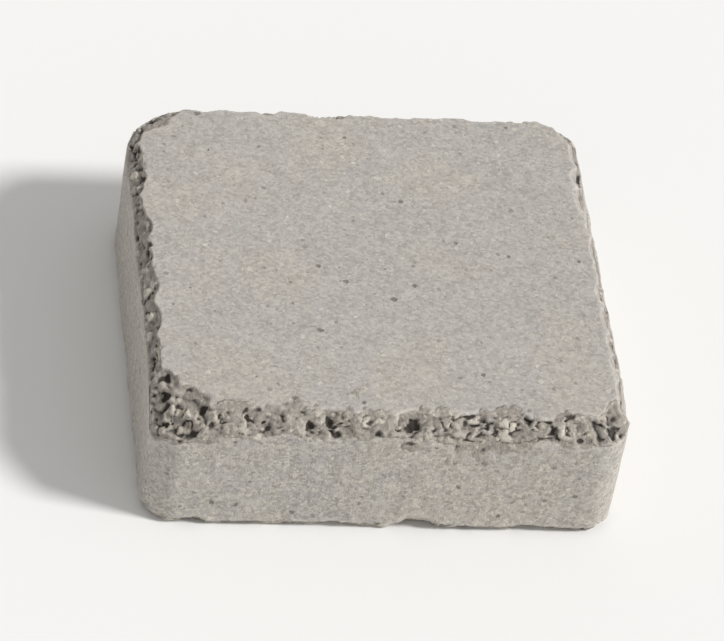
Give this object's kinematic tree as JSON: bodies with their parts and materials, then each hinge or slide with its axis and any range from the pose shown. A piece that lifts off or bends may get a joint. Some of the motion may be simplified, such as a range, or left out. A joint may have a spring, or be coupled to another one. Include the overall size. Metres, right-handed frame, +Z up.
{
  "type": "concrete paving stone",
  "caption": "Square tumbled concrete paving stone with rounded corners, worn and chipped arrises and a flat walking face, laid on a bed of sand as one unit of paving.",
  "frame": {"origin": "middle of the bed face, where the stone rests", "axes": "+Z up from the bed face to the walking face, +X to the right and +Y to the far side as the stone is seen from its front edge in the picture"},
  "size_m": [0.2, 0.2, 0.06],
  "materials": {
    "concrete": "matte"
  },
  "bodies": {
    "root": {"paving_stone": "concrete"}
  },
  "joints": []
}
